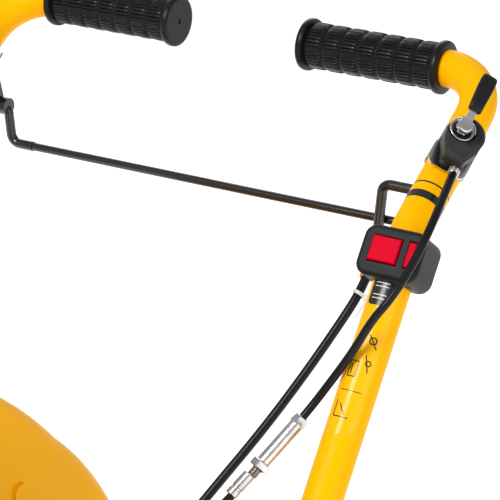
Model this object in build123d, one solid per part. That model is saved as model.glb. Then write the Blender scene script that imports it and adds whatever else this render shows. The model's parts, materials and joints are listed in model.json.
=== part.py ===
from build123d import *
import math
import os

# A walk-behind leaf blower: a transverse fan volute and a small engine on a low frame with two
# driven rear wheels, a swivelling front wheel and a two-tube handle.
# +Z is up, the machine blows and drives towards -Y, and +X is the operator's left.
# Points in side view are given as (forward of the grips, height above the ground).

# ---- driving dimensions, in millimetres and degrees ----
GRIP_HEIGHT = 1000.0
FLANGE_R = 20.25
FRONT_TIP = 1020.0
GRIP_Y = (FRONT_TIP - FLANGE_R) / 2

TUBE_X = 218.0
TUBE_R = 14.0
TUBE_WALL = 2.0
UPPER_SLOPE = 31.4
LOWER_SLOPE = 53.4
KNEE_FORWARD = 128.3
DROP_FORWARD = 275.0
TUBE_FOOT = 215.0
TUBE_BENDS = [40.0, 45.0, 90.0]

GRIP_INNER_X = 58.3
GRIP_OUTER_X = 178.0
GRIP_BODY_R = 16.8

CRANK = (455.0, 490.0)
VOLUTE_WIDTH = 150.0
SHEET = 2.5

RAIL_X = 184.0
RAIL_WIDTH = 30.0
RAIL_BOTTOM = 195.0
RAIL_TOP = 235.0
BAR_TOP = 220.0
RAIL_REAR = 235.0
RAIL_FRONT = 870.0

AXLE = (330.0, 170.0)
AXLE_R = 10.0
WHEEL_X = 292.5
TYRE_WIDTH = 85.0
CASTER = (110.0, 745.0)
CASTER_TRAIL = 35.0
CASTER_R = 80.0

BAIL_PIVOT = (76.0, 931.0)
BAIL_X = 168.0
HAND_X = 173.0
RUNNING = 0.05


# ---- placing things ----
def point(x, forward, height):
    return Vector(x, GRIP_Y - forward, height)


def side(x):
    """Side-view plane at x: local X is forward, local Y is up, and the normal points to -X."""
    return Plane(origin=point(x, 0, 0), x_dir=(0, -1, 0), z_dir=(-1, 0, 0))


def slab(sketch, x_from, x_to):
    return extrude(side(x_to) * sketch, x_to - x_from)


def rod_x(radius, x_from, x_to, forward, height):
    return slab(Pos(forward, height) * Circle(radius), x_from, x_to)


def rod(radius, start, end):
    start, end = Vector(*start), Vector(*end)
    base = Plane(origin=start, z_dir=end - start)
    return base * extrude(Circle(radius), (end - start).length)


def box_at(x_range, forward_range, height_range):
    x0, x1 = x_range
    f0, f1 = forward_range
    h0, h1 = height_range
    centre = point((x0 + x1) / 2, (f0 + f1) / 2, (h0 + h1) / 2)
    return Pos(*centre) * Box(x1 - x0, f1 - f0, h1 - h0)


def soft_box(x_range, forward_range, height_range, radius):
    solid = box_at(x_range, forward_range, height_range)
    return fillet(solid.edges(), radius)


def ring_x(outer, inner, x_from, x_to, forward, height):
    return slab(Pos(forward, height) * (Circle(outer) - Circle(inner)), x_from, x_to)


def pipe(points, radii, radius, bore=0.0):
    """A round bar, or a tube with a bore, along straight runs joined by tangent arcs."""
    path = FilletPolyline(*points, radius=radii)
    section = Circle(radius)
    if bore:
        section -= Circle(bore)
    return sweep(Plane(origin=path @ 0, z_dir=path % 0) * section, path=path)


def smooth_radii(points):
    """The largest arc that each corner's two runs allow."""
    radii = []
    for before, here, after in zip(points, points[1:], points[2:]):
        turn = math.radians((here - before).get_angle(after - here))
        run = min((here - before).length, (after - here).length)
        radii.append(0.45 * run / math.tan(turn / 2))
    return radii


def cord(name, points, radius):
    radii = smooth_radii(points)
    print(name, "arc radii", [round(r) for r in radii])
    path = FilletPolyline(*points, radius=radii)
    solid = sweep(Plane(origin=path @ 0, z_dir=path % 0) * Circle(radius), path=path)
    expected = math.pi * radius ** 2 * path.length
    print(name, "length", round(path.length), "volume ratio", round(solid.volume / expected, 4))
    return solid


def mirrored(solid):
    return mirror(solid, about=Plane.YZ)


def revolved_x(profile, x, forward, height):
    """Turns a profile of (along X, radius) points about the X axis through a side-view point."""
    turned = revolve(Plane.XY * profile, axis=Axis.X, revolution_arc=360)
    return Pos(*point(x, forward, height)) * turned


# ---- the handle ----
def handle_corners():
    knee_drop = KNEE_FORWARD * math.tan(math.radians(UPPER_SLOPE))
    lower_drop = (DROP_FORWARD - KNEE_FORWARD) * math.tan(math.radians(LOWER_SLOPE))
    knee = point(TUBE_X, KNEE_FORWARD, GRIP_HEIGHT - knee_drop)
    drop = point(TUBE_X, DROP_FORWARD, GRIP_HEIGHT - knee_drop - lower_drop)
    return knee, drop


def tube_plane(reach, slope_deg, corner):
    """A plane on the tube's axis, reach mm down the run that starts at corner.
    Local X is the machine's +X and the normal points forwards and up, out of the tube."""
    slope = math.radians(slope_deg)
    along = Vector(0, -math.cos(slope), -math.sin(slope))
    normal = Vector(0, -math.sin(slope), math.cos(slope))
    return Plane(origin=corner + along * reach, x_dir=(1, 0, 0), z_dir=normal)


BOLT_HEIGHTS = (268.0, 330.0)
BOLT_R = 4.0
BRACKET_T = 5.0
BRACKET_INNER = RAIL_X + RAIL_WIDTH / 2


def bolt_holes():
    x_from, x_to = BRACKET_INNER - 30, TUBE_X + 40
    return [rod_x(BOLT_R + 0.2, x_from, x_to, DROP_FORWARD, h) for h in BOLT_HEIGHTS]


def handle_tube(brackets):
    """One leg of the handle: the bent tube with its bolt holes, and what is welded to it."""
    knee, drop = handle_corners()
    start = point(GRIP_INNER_X + 5, 0, GRIP_HEIGHT)
    corner = point(TUBE_X, 0, GRIP_HEIGHT)
    foot = point(TUBE_X, DROP_FORWARD, TUBE_FOOT)
    tube = pipe([start, corner, knee, drop, foot], TUBE_BENDS, TUBE_R, TUBE_R - TUBE_WALL)
    for hole in bolt_holes():
        tube -= hole
    keep_out = pipe([start, corner, knee, drop, foot], TUBE_BENDS, TUBE_R - TUBE_WALL / 2)
    for bracket in brackets:
        tube += bracket - keep_out
    return tube


LUG_X = (207.0, 212.0)
STUB_R = 4.0


def bail_lug():
    """The welded ear under the tube that carries the bail's stub."""
    slope = math.radians(UPPER_SLOPE)
    weld_forward = BAIL_PIVOT[0] + 12
    weld = (weld_forward - 10 * math.sin(slope),
            GRIP_HEIGHT - weld_forward * math.tan(slope) - 10 * math.cos(slope))
    arm = Pos(*BAIL_PIVOT) * Circle(7.5) + Pos(*weld) * Circle(6)
    ear = slab(make_hull(arm.edges()), *LUG_X)
    return ear - rod_x(STUB_R + RUNNING, 190, 230, *BAIL_PIVOT)


def grip():
    """A moulded sleeve with a closed inner end, a flange at each end and barrelled blocks."""
    blocks = 7
    flange = 7.5
    length = GRIP_OUTER_X - GRIP_INNER_X
    pitch = (length - 2 * flange) / blocks
    solid = rod_x(GRIP_BODY_R - 1.6, GRIP_INNER_X, GRIP_OUTER_X, 0, GRIP_HEIGHT)
    for index in range(blocks):
        start = GRIP_INNER_X + flange + index * pitch
        block = rod_x(GRIP_BODY_R, start + 0.8, start + pitch - 0.8, 0, GRIP_HEIGHT)
        solid += fillet(block.edges().filter_by(GeomType.CIRCLE), 1.4)
    for start in (GRIP_INNER_X, GRIP_OUTER_X - flange):
        rim = rod_x(FLANGE_R, start, start + flange, 0, GRIP_HEIGHT)
        solid += fillet(rim.edges().filter_by(GeomType.CIRCLE), 3.0)
    solid -= rod_x(TUBE_R + RUNNING, GRIP_INNER_X + 4.5, GRIP_OUTER_X + 1, 0, GRIP_HEIGHT)
    return solid - rod_x(2.0, GRIP_INNER_X - 1, GRIP_INNER_X + 6, 0, GRIP_HEIGHT)


# ---- the throttle control on the left tube ----
THROTTLE_REACH = 84.0
THROTTLE_ROLL = 33.0
BLOCK_BASE = TUBE_R + 3.0
BLOCK_TOP = BLOCK_BASE + 20.0
LEVER_LIFT = BLOCK_TOP + 1.0
LEVER_PIVOT = (-4.0, 5.0)
STRAP_WIDTH = 15.0
EAR_ROLL = 27.0
EAR_REACH = TUBE_R + 9.5
CABLE_EXIT = (5.7, -12.0, 5.5)
CABLE_BOSS = 6.0


def throttle_plane():
    """The control's seat: the tube's plane rolled outwards about the tube.
    Local Y points up the tube, towards the grip."""
    upright = tube_plane(THROTTLE_REACH, UPPER_SLOPE, point(TUBE_X, 0, GRIP_HEIGHT))
    return Plane(upright.location * Rot(0, THROTTLE_ROLL, 0))


def strap_plane():
    """Looks along the tube, with local Y pointing out through the strap's ears."""
    upright = tube_plane(THROTTLE_REACH, UPPER_SLOPE, point(TUBE_X, 0, GRIP_HEIGHT))
    across = Plane(origin=upright.origin, x_dir=upright.x_dir, z_dir=upright.y_dir)
    return Plane(across.location * Rot(0, 0, EAR_ROLL))


def strap_bolt_line():
    ears = strap_plane()
    return Plane(origin=ears.from_local_coords((0, EAR_REACH, 0)), z_dir=ears.x_dir)


def throttle_housing():
    """A moulded block with a chamfered top edge and a round well for the lever's pivot."""
    base = throttle_plane()
    corners = [(-13.5, 4), (-13, -6), (-7, -18), (8, -18), (13, -6), (13.5, 4)]
    outline = Polygon(*corners, align=None) + Pos(0, 4) * Circle(14)
    crown = Pos(0, 0, 8) * extrude(outline, BLOCK_TOP - BLOCK_BASE - 8)
    crown = fillet(crown.edges().filter_by(Axis.Z).group_by(Axis.Y)[0], 2)
    crown = chamfer(crown.edges().group_by(Axis.Z)[-1], 2.0)
    waist = make_hull((Pos(0, 3) * Circle(11) + Pos(0, -7) * Circle(8)).edges())
    block = crown + extrude(waist, 9)
    block -= Pos(*LEVER_PIVOT, BLOCK_TOP - BLOCK_BASE - 5) * extrude(Circle(10.5), 10)
    block -= Pos(*LEVER_PIVOT, 0) * extrude(Circle(2.7), 30)
    block += Pos(*CABLE_EXIT) * Rot(90, 0, 0) * extrude(Circle(4.5), CABLE_BOSS)
    return base * Pos(0, 0, BLOCK_BASE) * block


def throttle_strap():
    """The zinc base plate and the strap that wraps the tube, with two clamp ears."""
    base = throttle_plane()
    plate = base * Pos(0, -1, TUBE_R + 0.9) * extrude(RectangleRounded(29, 37, 5), 2.0)
    plate -= base * Pos(*LEVER_PIVOT, 0) * extrude(Circle(2.7), 40)
    around = strap_plane()
    ring = Circle(TUBE_R + 1.6) + Pos(0, TUBE_R + 7) * Rectangle(7, 13)
    ring -= Circle(TUBE_R + 0.1) + Pos(0, TUBE_R + 8) * Rectangle(3.4, 18)
    clamp = extrude(around * ring, STRAP_WIDTH / 2, both=True)
    clamp -= strap_bolt_line() * extrude(Circle(2.7), 20, both=True)
    return plate + clamp


def throttle_fasteners():
    """The pivot screw with its domed head and the strap's clamp bolt with its hexagon nut."""
    base = throttle_plane()
    head_at = LEVER_LIFT + 2.3
    shank = Pos(*LEVER_PIVOT, BLOCK_TOP - 16) * extrude(Circle(2.5), head_at - BLOCK_TOP + 17)
    dome = Pos(*LEVER_PIVOT, head_at) * (Sphere(6) & extrude(Circle(7), 3.4))
    line = strap_bolt_line()
    bolt = Pos(0, 0, -3.6) * extrude(Circle(2.5), 15.0)
    bolt += Pos(0, 0, 3.6) * extrude(RegularPolygon(4.6, 6), 4.0)
    bolt += Pos(0, 0, -7.2) * extrude(RegularPolygon(4.6, 6), 3.6)
    return Compound(children=[base * (shank + dome), line * bolt])


def throttle_lever():
    """A flat shank round the pivot and a paddle that widens towards its tip."""
    neck = (-5.7, 24.0)
    tip = (-4.8, 45.5)
    shank = extrude(make_hull((Pos(*LEVER_PIVOT) * Circle(8) + Pos(*neck) * Circle(3.6)).edges()), 2.0)
    shank -= Pos(*LEVER_PIVOT) * extrude(Circle(2.5 + RUNNING), 4)
    paddle = make_hull((Pos(-5.7, 26) * Circle(4.4) + Pos(*tip) * Circle(7.4)).edges())
    paddle = Pos(0, 0, -1) * extrude(paddle, 7.0)
    paddle = fillet(paddle.edges(), 2.2)
    return throttle_plane() * Pos(0, 0, LEVER_LIFT) * (shank + paddle)


# ---- the stop switch on the left tube ----
SWITCH_REACH = 23.0
SWITCH_SHIFT = 2.0
SWITCH_TOP = 23.0
ROCKER_X = 3.7
ROCKER_Z = SWITCH_TOP - 5.4
BROAD_X = -2.3
NARROW_X = 17.4


def switch_plane():
    knee, _ = handle_corners()
    return tube_plane(SWITCH_REACH, LOWER_SLOPE, knee)


def switch_housing():
    """A two-lobed body clamped round the tube, with a window for the rocker."""
    base = switch_plane()
    lip = -6.0
    body = Pos(SWITCH_SHIFT, 0, (SWITCH_TOP + lip) / 2) * Box(48, 37, SWITCH_TOP - lip)
    body = fillet(body.edges().filter_by(Axis.Z), 9)
    body = fillet(body.edges().group_by(Axis.Z)[-1], 3.5)
    clamp = Pos(0, 0, -12) * Box(36, 30, 13)
    clamp = fillet(clamp.edges().filter_by(Axis.Y), 5)
    bore = Rot(90, 0, 0) * Cylinder(TUBE_R + 0.3, 60)
    cavity = Pos(ROCKER_X, 1, ROCKER_Z) * (Box(36.0, 20.0, 4.8) + Rot(90, 0, 0) * Cylinder(1.05, 25))
    windows = cavity + Pos(BROAD_X, 1, SWITCH_TOP) * Box(23.4, 20.0, 12)
    windows += Pos(NARROW_X, 1, SWITCH_TOP) * Box(7.4, 20.0, 12)
    return base * (body + clamp - bore - windows)


def stop_rocker():
    """The red rocker: a broad paddle and a narrow one on one cradle, joined under the bridge."""
    base = switch_plane()
    cradle = Pos(ROCKER_X, 1, ROCKER_Z) * (Box(33, 16, 2.2) + Rot(90, 0, 0) * Cylinder(1.0, 24))
    broad = Pos(BROAD_X, 1, SWITCH_TOP - 1.4) * Box(21.8, 18.0, 6.8)
    narrow = Pos(NARROW_X, 1, SWITCH_TOP - 1.8) * Box(6.0, 18.0, 6.0)
    broad = fillet(broad.edges().group_by(Axis.Z)[-1], 1.2)
    narrow = fillet(narrow.edges().group_by(Axis.Z)[-1], 1.2)
    return base * (cradle + broad + narrow)


# ---- the drive bail ----
CRANK_REACH = 53.0
BAIL_ARM_R = 3.9
BAIL_ROD_R = 3.3
HAND_TIP = (92.0, 990.0)


def bail():
    """One welded bail: a stub in each lug, a left arm that ends as the cable crank, a right arm
    with the hand lever, and the cross rod, which passes behind the left arm."""
    pivot_f, pivot_h = BAIL_PIVOT
    rod_h = pivot_h - 29.5
    crank_h = pivot_h - CRANK_REACH
    stub_end = BAIL_X + 45
    left = pipe([point(stub_end, pivot_f, pivot_h), point(BAIL_X, pivot_f, pivot_h),
                 point(BAIL_X - 4, pivot_f + 2, crank_h)], [7.0], STUB_R)
    right = pipe([point(-stub_end, pivot_f, pivot_h), point(-HAND_X, pivot_f, pivot_h),
                  point(-HAND_X + 3, pivot_f, rod_h), point(-HAND_X + 24, pivot_f - 0.4, rod_h)],
                 [7.0, 8.0], BAIL_ARM_R)
    cross = rod(BAIL_ROD_R, point(-HAND_X + 21, pivot_f - 0.3, rod_h),
                point(BAIL_X + 12, pivot_f - 5.5, rod_h))
    stub = rod_x(STUB_R, -stub_end, -HAND_X - 9, pivot_f, pivot_h)
    hub = rod_x(7.0, -HAND_X - 13, -HAND_X + 1, pivot_f, pivot_h)
    hand = make_hull((Pos(pivot_f, pivot_h) * Circle(7) + Pos(*HAND_TIP) * Circle(8)).edges())
    lever = slab(hand, -HAND_X - 13, -HAND_X - 8.5)
    eye = rod_x(5.5, BAIL_X - 8.5, BAIL_X - 0.5, pivot_f + 2, crank_h)
    return left + right + cross + stub + hub + lever + eye


def bail_spring():
    """The torsion spring round the right stub, as the sleeve that its coils fill."""
    pivot_f, pivot_h = BAIL_PIVOT
    coil = ring_x(7.4, 4.6, -203.0, -189.5, pivot_f, pivot_h)
    leg = rod(1.1, point(-201, pivot_f - 5, pivot_h + 4), point(-207, 38, GRIP_HEIGHT - 40))
    return coil + leg


# ---- cables ----
THROTTLE_CABLE_R = 3.0
DRIVE_CABLE_R = 3.5
ADJUSTER_TOP = (189.0, 221.0, 810.0)
ADJUSTER_FOOT = (169.5, 259.0, 775.0)
DRIVE_CABLE_TOP = (165.6, 88.3, 870.2)
DRIVE_CABLE_SECOND = (168.0, 103.3, 858.7)
DRIVE_CABLE_THIRD = (159.0, 126.0, 832.5)
DRIVE_CABLE_FOOT = (30.0, 338.0, 512.0)


def throttle_cable():
    """The throttle's outer cable, from the control block over the switch to the carburettor."""
    route = [point(235, 96.5, 959.5), point(239.3, 116.9, 952.6), point(245.8, 152.2, 935.9),
             point(243, 174.5, 913.6), point(238, 192.7, 897), point(228, 199, 882.4),
             point(216, 201.7, 858.3), point(203, 208.5, 835.3), point(*ADJUSTER_TOP),
             point(*ADJUSTER_FOOT), point(158, 284, 757), point(150, 325, 741),
             point(146, 372, 732), point(142, 420, 726), point(138, 466, 720),
             point(134, 506, 706), point(131, 536, 681), point(130, 551, 643)]
    return cord("throttle_cable", route, THROTTLE_CABLE_R)


def cable_adjuster():
    """The zinc barrel adjuster in the throttle cable: cone, barrel, lock nut and end ferrule."""
    top = point(*ADJUSTER_TOP)
    along = (point(*ADJUSTER_FOOT) - top).normalized()
    stations = [top + along * reach for reach in (2, 9, 43, 49, 55)]
    cone = rod(6.4, stations[0], stations[1])
    barrel = rod(5.2, stations[1], stations[2])
    nut = Plane(origin=stations[2], z_dir=along) * extrude(RegularPolygon(7.6, 6), 6)
    tail = rod(4.2, stations[3], stations[4])
    bore = rod(THROTTLE_CABLE_R + RUNNING, top, top + along * 60)
    return cone + barrel + nut + tail - bore


def drive_cable():
    """The drive clutch's outer cable, from its stop behind the switch to the idler's stop."""
    route = [point(*DRIVE_CABLE_TOP), point(*DRIVE_CABLE_SECOND), point(*DRIVE_CABLE_THIRD),
             point(146, 154.2, 799.8),
             point(131, 184.5, 766.5), point(113, 215.8, 732.8), point(92, 247, 694),
             point(70, 277, 650), point(50, 304, 602), point(37, 324, 556),
             point(*DRIVE_CABLE_FOOT)]
    return cord("drive_cable", route, DRIVE_CABLE_R)


def upper_cable_stop():
    """The sleeve that holds the drive cable's top end, on a flat arm welded to the left tube."""
    top = point(*DRIVE_CABLE_TOP)
    along = (point(*DRIVE_CABLE_SECOND) - top).normalized()
    weld = tube_plane(139, UPPER_SLOPE, point(TUBE_X, 0, GRIP_HEIGHT)).origin - Vector(6, 0, 0)
    arm = Plane(origin=top + along * 3, z_dir=weld - top) * extrude(Rectangle(7, 4), (weld - top).length)
    sleeve = rod(5.5, top - along * 3, top + along * 10)
    bored = arm + sleeve - rod(DRIVE_CABLE_R + RUNNING, top, top + along * 20)
    return bored - rod(1.2, top - along * 10, top)


def lower_cable_stop():
    """The shelf on the volute's face that holds the drive cable's lower end."""
    x, forward, height = DRIVE_CABLE_FOOT
    shelf = box_at((-1, x + 8), (forward - 11, forward + 11), (height - 4, height - 1))
    gusset = box_at((-1, x - 8), (forward + 8, forward + 11), (height - 18, height - 4))
    return shelf + gusset - rod(1.5, point(x, forward, height - 10), point(x, forward, height + 10))


def cable_tie():
    """A nylon tie round the drive cable just below the stop switch."""
    upper = point(*DRIVE_CABLE_SECOND)
    along = (point(*DRIVE_CABLE_THIRD) - upper).normalized()
    around = Plane(origin=upper + along * 5, x_dir=(0, 1, 0), z_dir=along)
    band = extrude(around * (Circle(5.2) - Circle(DRIVE_CABLE_R + 0.4)), 1.3, both=True)
    head = around * Pos(0, 6.2, 0) * Box(5.5, 3.6, 4.6)
    tail = around * Pos(0, 7.2, 9.0) * Box(3.0, 1.1, 16.0)
    return band + head + tail


# ---- the frame ----
def rail():
    """A box-section side rail with the welded plate that the handle tube bolts to."""
    inner, outer = BRACKET_INNER - RAIL_WIDTH, BRACKET_INNER
    bar = box_at((inner, outer), (RAIL_REAR, RAIL_FRONT), (RAIL_BOTTOM, RAIL_TOP))
    bar = fillet(bar.edges().filter_by(Axis.Y), 4)
    bore = box_at((inner + 2.5, outer - 2.5), (RAIL_REAR - 1, RAIL_FRONT + 1),
                  (RAIL_BOTTOM + 2.5, RAIL_TOP - 2.5))
    bar -= fillet(bore.edges().filter_by(Axis.Y), 2)
    outline = Pos(DROP_FORWARD, 282) * RectangleRounded(64, 146, 14)
    plate = slab(outline, outer - 1, outer + BRACKET_T)
    solid = bar + plate
    for hole in bolt_holes():
        solid -= hole
    return solid


CROSSBARS = (265.0, 400.0, 640.0)


def crossbars():
    """Three equal box-section bars between the rails."""
    half = BRACKET_INNER - RAIL_WIDTH
    bars = []
    for forward in CROSSBARS:
        outer = box_at((-half, half), (forward - 15, forward + 15), (RAIL_BOTTOM, BAR_TOP))
        outer = fillet(outer.edges().filter_by(Axis.X), 3)
        inner = box_at((-half - 1, half + 1), (forward - 12.5, forward + 12.5),
                       (RAIL_BOTTOM + 2.5, BAR_TOP - 2.5))
        bars.append(outer - inner)
    return Compound(children=bars)


SOCKET_BOTTOM = 193.0
SOCKET_TOP = 230.0
STEM_R = 8.0


def caster_plate():
    """The nose plate and the socket for the front wheel's stem."""
    x, forward = CASTER
    plate = box_at((x - 62, BRACKET_INNER - RAIL_WIDTH), (655, 812), (RAIL_BOTTOM, RAIL_BOTTOM + 8))
    plate = fillet(plate.edges().filter_by(Axis.Z).group_by(Axis.Y)[0], 20)
    socket = Pos(*point(x, forward, SOCKET_BOTTOM)) * extrude(Circle(16), SOCKET_TOP - SOCKET_BOTTOM)
    gusset = box_at((x - 3, x + 3), (655, 745), (RAIL_BOTTOM + 8, BAR_TOP))
    bore = Pos(*point(x, forward, SOCKET_BOTTOM - 5)) * extrude(Circle(STEM_R + RUNNING), 60)
    return plate + gusset + socket - bore


DECK_TOP = 384.0
DECK_T = 6.0
DECK_X = (30.0, 236.0)
ENGINE_BOLTS = [(x, f) for x in (62.0, 135.0) for f in (360.0, 548.0)]


def engine_deck():
    """The plate that the engine is bolted to, with turned-down long edges."""
    plate = box_at(DECK_X, (345, 668), (DECK_TOP - DECK_T, DECK_TOP))
    plate = fillet(plate.edges().filter_by(Axis.Z), 12)
    for x in (DECK_X[0] + 2, DECK_X[1] - 2):
        plate += box_at((x - 2, x + 2), (390, 650), (DECK_TOP - 24, DECK_TOP - 1))
    for x, forward in ENGINE_BOLTS:
        plate -= Pos(*point(x, forward, DECK_TOP - 10)) * extrude(Circle(4.3), 20)
    return plate


def deck_leg(forward):
    """A pressed leg plate between a crossbar and the engine deck."""
    foot, head = BAR_TOP, DECK_TOP - DECK_T
    low = (48.0, 158.0)
    outline = Polyline((low[0], foot), (low[1], foot), (DECK_X[1] - 12, head),
                       (DECK_X[0] + 8, head), close=True)
    face = make_face(outline)
    face = fillet(face.vertices(), 6)
    face -= Pos(110, (foot + head) / 2) * SlotOverall(70, 34)
    plane = Plane(origin=point(0, forward - 3, 0), x_dir=(1, 0, 0), z_dir=(0, -1, 0))
    return extrude(plane * face, 6)


# ---- wheels ----
def axle_bearings():
    """A bearing block under each rail."""
    forward, height = AXLE
    outline = Pos(forward, height) * Circle(24) + Pos(forward, RAIL_BOTTOM - 15) * Rectangle(60, 30)
    block = slab(outline, RAIL_X - 12, RAIL_X + 12)
    block -= rod_x(AXLE_R + RUNNING, RAIL_X - 20, RAIL_X + 20, forward, height)
    return Compound(children=[block, mirrored(block)])


def rear_axle():
    forward, height = AXLE
    shaft = rod_x(AXLE_R, -336, 336, forward, height)
    for x in (-340, 331):
        shaft += slab(Pos(forward, height) * RegularPolygon(14, 6), x, x + 9)
    return shaft


TYRE_R = 170.0
RIM_R = 104.0


def tyre(radius, bead_radius, width):
    """A ring with a crowned tread, rounded shoulders and a bead seat."""
    half = width / 2
    shoulder = 0.22 * (radius - bead_radius)
    outline = make_face(Polyline((-half, bead_radius), (half, bead_radius), (half, radius - shoulder),
                                 (0.62 * half, radius), (-0.62 * half, radius),
                                 (-half, radius - shoulder), close=True))
    outline = fillet(outline.vertices().group_by(Axis.Y)[1:], 0.3 * shoulder)
    return outline


def rear_tyre():
    return revolved_x(tyre(TYRE_R, RIM_R + 0.1, TYRE_WIDTH), WHEEL_X, *AXLE)


def rear_rim():
    """A pressed two-lip rim with a dished disc and a long hub."""
    half = TYRE_WIDTH / 2 - 6
    bore = AXLE_R + 0.05
    barrel = make_face(Polyline((-half, 96), (half, 96), (half, RIM_R), (-half, RIM_R), close=True))
    disc = make_face(Polyline((-6, 24), (-1, 24), (11, 97), (5, 97), close=True))
    hub = make_face(Polyline((-38, bore), (38, bore), (38, 25), (-38, 25), close=True))
    rim = revolved_x(barrel + disc + hub, WHEEL_X, *AXLE)
    window = Pos(62, 0) * Circle(14)
    holes = PolarLocations(0, 5) * window
    forward, height = AXLE
    return rim - slab(Pos(forward, height) * Sketch(children=list(holes)), WHEEL_X - 30, WHEEL_X + 37)


def caster_axle():
    return CASTER[1] - CASTER_TRAIL, CASTER_R


def caster_fork():
    """Stem, crown and two raked cheeks, with the wheel's axle bolt."""
    x, forward = CASTER
    wheel_f, wheel_h = caster_axle()
    stem = Pos(*point(x, forward, 184)) * extrude(Circle(STEM_R), SOCKET_TOP - 179)
    washer = Pos(*point(x, forward, SOCKET_TOP + 0.5)) * extrude(Circle(13), 7)
    crown = box_at((x - 35, x + 35), (wheel_f - 22, forward + 22), (183, 191))
    crown = fillet(crown.edges().filter_by(Axis.Z), 10)
    cheek = Pos(wheel_f, wheel_h) * Circle(14) + Pos((wheel_f + forward) / 2, 176) * Rectangle(56, 16)
    cheek = make_hull(cheek.edges())
    fork = stem + washer + crown
    for low in (x - 34.5, x + 30.5):
        fork += slab(cheek, low, low + 4)
    fork += rod_x(5.0, x - 40, x + 40, wheel_f, wheel_h)
    for low in (x - 40, x + 34.5):
        fork += slab(Pos(wheel_f, wheel_h) * RegularPolygon(9, 6), low, low + 5.5)
    return fork


def caster_tyre():
    return revolved_x(tyre(CASTER_R, 52.1, 40.0), CASTER[0], *caster_axle())


def caster_rim():
    barrel = make_face(Polyline((-17, 44), (17, 44), (17, 52), (-17, 52), close=True))
    disc = make_face(Polyline((-4, 12), (4, 12), (4, 45), (-4, 45), close=True))
    hub = make_face(Polyline((-28, 5.05), (28, 5.05), (28, 14), (-28, 14), close=True))
    return revolved_x(barrel + disc + hub, CASTER[0], *caster_axle())


# ---- the wheel drive ----
BELT_X = (8.0, 26.0)
ENGINE_PULLEY_R = 32.0
GEARBOX_INPUT = (330.0, 262.0)
GEARBOX_PULLEY_R = 46.0
GEARBOX_X = (34.0, 108.0)


def pulley(radius, x_from, x_to, centre, bore):
    """A grooved pulley: two tapered flanges on a hub."""
    half = (x_to - x_from) / 2
    outline = make_face(Polyline((-half, bore), (half, bore), (half, radius), (half - 2.5, radius),
                                 (3, radius - 9), (-3, radius - 9), (-half + 2.5, radius),
                                 (-half, radius), close=True))
    return revolved_x(outline, (x_from + x_to) / 2, *centre)


def gearbox():
    """The reduction case round the axle, with its pulley shaft boss."""
    shape = Pos(*AXLE) * Circle(44) + Pos(*GEARBOX_INPUT) * Circle(32)
    case = slab(make_hull(shape.edges()), GEARBOX_X[0] + 8, GEARBOX_X[1])
    case = fillet(case.edges().group_by(Axis.X)[-1], 6)
    case += rod_x(16, GEARBOX_X[0], GEARBOX_X[0] + 12, *GEARBOX_INPUT)
    case += rod_x(24, GEARBOX_X[0], GEARBOX_X[1] + 8, *AXLE)
    case -= rod_x(AXLE_R + RUNNING, 0, 140, *AXLE)
    return case - rod_x(8 + RUNNING, 20, 70, *GEARBOX_INPUT)


def gearbox_pulley():
    wheel = pulley(GEARBOX_PULLEY_R, *BELT_X, GEARBOX_INPUT, 7.0)
    return wheel + rod_x(8.0, BELT_X[0], 68, *GEARBOX_INPUT)


BELT_GAP = 0.6


def belt_outline(extra):
    around_engine = Pos(*CRANK) * Circle(ENGINE_PULLEY_R - 5 + extra)
    around_input = Pos(*GEARBOX_INPUT) * Circle(GEARBOX_PULLEY_R - 5 + extra)
    return make_hull((around_engine + around_input).edges())


def drive_belt():
    middle = sum(BELT_X) / 2
    return slab(belt_outline(7.0) - belt_outline(0.0), middle - 4.0, middle + 4.0)


IDLER_PIVOT = (318.0, 478.0)
IDLER_R = 20.0
IDLER_AT = (318.0, 411.0)


def idler_arm():
    """A flat arm that hangs from its pivot stud and carries the idler's pin."""
    tip = (IDLER_AT[0], IDLER_AT[1] - 22)
    hook = (DRIVE_CABLE_FOOT[1], IDLER_PIVOT[1])
    hanger = make_hull((Pos(*IDLER_PIVOT) * Circle(11) + Pos(*tip) * Circle(8)).edges())
    ear = make_hull((Pos(*IDLER_PIVOT) * Circle(9) + Pos(*hook) * Circle(6)).edges())
    arm = slab(hanger + ear, BELT_X[1] + 1, BELT_X[1] + 5) - rod_x(2.0, 20, 40, *hook)
    arm -= rod_x(5 + RUNNING, 20, 40, *IDLER_PIVOT)
    return arm + rod_x(4.0, BELT_X[0] - 2, BELT_X[1] + 2, *IDLER_AT)


def idler_pulley():
    return pulley(IDLER_R, BELT_X[0] + 1, BELT_X[1] - 0.5, IDLER_AT, 4.0 + RUNNING)


# ---- the blower ----
BACK = ((461.0, 512.0), 323.0)
CROWN_REAR = ((600.0, 435.0), 476.0)
CROWN_R = 330.0
CROWN_JOIN = 126.5
BELLY = ((413.0, 512.0), 275.0)
TONGUE_R = 300.0
TONGUE_DEG = -30.0
EXIT_HEIGHT = 340.0
DUCT_END = EXIT_HEIGHT - 20
EDGE_R = 13.0
INLET_R = 112.0
RIM = 14.0
SPACER_CIRCLE = 78.0
SPACER_ANGLES = (20, 110, 200, 290)


def on_circle(centre, radius, degrees):
    angle = math.radians(degrees)
    return centre[0] + radius * math.cos(angle), centre[1] + radius * math.sin(angle)


def angle_of(centre, place):
    return math.degrees(math.atan2(place[1] - centre[1], place[0] - centre[0]))


def upper_meeting(circle_a, circle_b):
    """The higher one of the two points where two circles cross."""
    (ax, ay), radius_a = circle_a
    (bx, by), radius_b = circle_b
    apart = math.hypot(bx - ax, by - ay)
    along = (radius_a ** 2 - radius_b ** 2 + apart ** 2) / (2 * apart)
    across = math.sqrt(radius_a ** 2 - along ** 2)
    unit = ((bx - ax) / apart, (by - ay) / apart)
    places = [(ax + along * unit[0] - turn * across * unit[1], ay + along * unit[1] + turn * across * unit[0])
              for turn in (1, -1)]
    return max(places, key=lambda place: place[1])


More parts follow.
